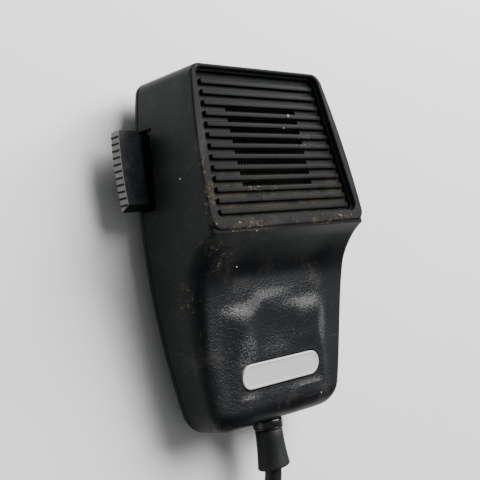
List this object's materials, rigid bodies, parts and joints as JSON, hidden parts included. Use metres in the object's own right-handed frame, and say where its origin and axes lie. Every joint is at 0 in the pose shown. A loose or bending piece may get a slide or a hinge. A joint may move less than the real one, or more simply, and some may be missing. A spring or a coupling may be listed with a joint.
{
  "type": "hand microphone",
  "caption": "Push-to-talk hand microphone for a mobile radio, with ribbed grille, side talk bar, hang-up stud and a curly cord ending in a screw-on plug.",
  "frame": {"origin": "centre of the hang-up stud's head face, on the surface that the microphone lies on", "axes": "+X across the face, away from the talk bar; +Y from the cord end to the top of the case; +Z out of the back, towards the grille side"},
  "size_m": [0.09, 0.2166, 0.0351],
  "materials": {
    "case_plastic": "moulded black plastic, smooth sides and leather-grained front",
    "grille_plastic": "ribbed black plastic with dust in the grooves",
    "bar_plastic": "moulded black plastic, dusty and worn",
    "dust_cloth": "fine black cloth",
    "plate_enamel": "ivory enamel, blank",
    "switch_plastic": "dark moulded plastic",
    "plunger_plastic": "ivory acetal",
    "capsule_alloy": "pressed aluminium",
    "magnet_iron": "sintered magnet and pot",
    "board_laminate": "brown laminate",
    "parts_enamel": "enamelled parts",
    "contact_brass": "turned brass",
    "screw_steel": "zinc-plated steel",
    "stud_chrome": "plated, with wear",
    "bushing_plastic": "glossy black",
    "cord_rubber": "matte black rubber",
    "cord_jacket": "satin black cord jacket",
    "wire_red": "insulated wire",
    "wire_blue": "insulated wire",
    "wire_green": "insulated wire",
    "plug_nickel": "satin nickel",
    "ring_nickel": "satin nickel, knurled",
    "insert_phenolic": "brown phenolic"
  },
  "bodies": {
    "case": {"front_shell": "case_plastic", "rear_cover": "case_plastic", "cover_screws": "screw_steel", "grille_insert": "grille_plastic", "dust_cloth": "dust_cloth", "name_plate": "plate_enamel", "ptt_spring": "screw_steel", "switch_body": "switch_plastic", "switch_terminals": "contact_brass", "switch_screws": "screw_steel", "mic_capsule": "capsule_alloy", "capsule_magnet": "magnet_iron", "capsule_gasket": "cord_rubber", "capsule_clamp": "screw_steel", "capsule_screws": "screw_steel", "terminal_board": "board_laminate", "board_lugs": "contact_brass", "board_parts": "parts_enamel", "board_screws": "screw_steel", "cord_clamp": "screw_steel", "cord_clamp_screws": "screw_steel", "cord_bushing": "bushing_plastic", "cord_sleeve": "cord_rubber", "cord_conductors": "wire_red", "switch_leads": "wire_blue", "capsule_leads": "wire_green", "hang_stud": "stud_chrome", "stud_screw": "screw_steel", "stud_washer": "screw_steel", "stud_nut": "screw_steel", "cord_lead": "cord_jacket", "curly_cord": "cord_jacket", "cord_tail": "cord_jacket", "plug_boot": "cord_rubber", "plug_shell": "plug_nickel", "plug_insert": "insert_phenolic", "plug_contacts": "contact_brass", "plug_screw": "screw_steel"},
    "talk_bar": {"ptt_bar": "bar_plastic"},
    "plunger": {"switch_plunger": "plunger_plastic"},
    "plug_ring": {"locking_ring": "ring_nickel"}
  },
  "joints": [
    {"name": "ptt_press", "type": "slide", "parent": "case", "child": "talk_bar", "axis": [1, 0, 0], "range_m": [0, 0.0025], "stiffness_N_per_m": 900, "springref_m": -0.002, "deforming": ["ptt_spring"]},
    {"name": "plunger_press", "type": "slide", "parent": "case", "child": "plunger", "axis": [1, 0, 0], "range_m": [0, 0.0025]},
    {"name": "ring_turn", "type": "hinge", "parent": "case", "child": "plug_ring", "pos_m": [-0.0085, -0.14, 0.009], "axis": [0, -1, 0], "continuous": true}
  ],
  "couplings": [
    {"joint": "plunger_press", "follows": "ptt_press", "ratio": 1}
  ]
}
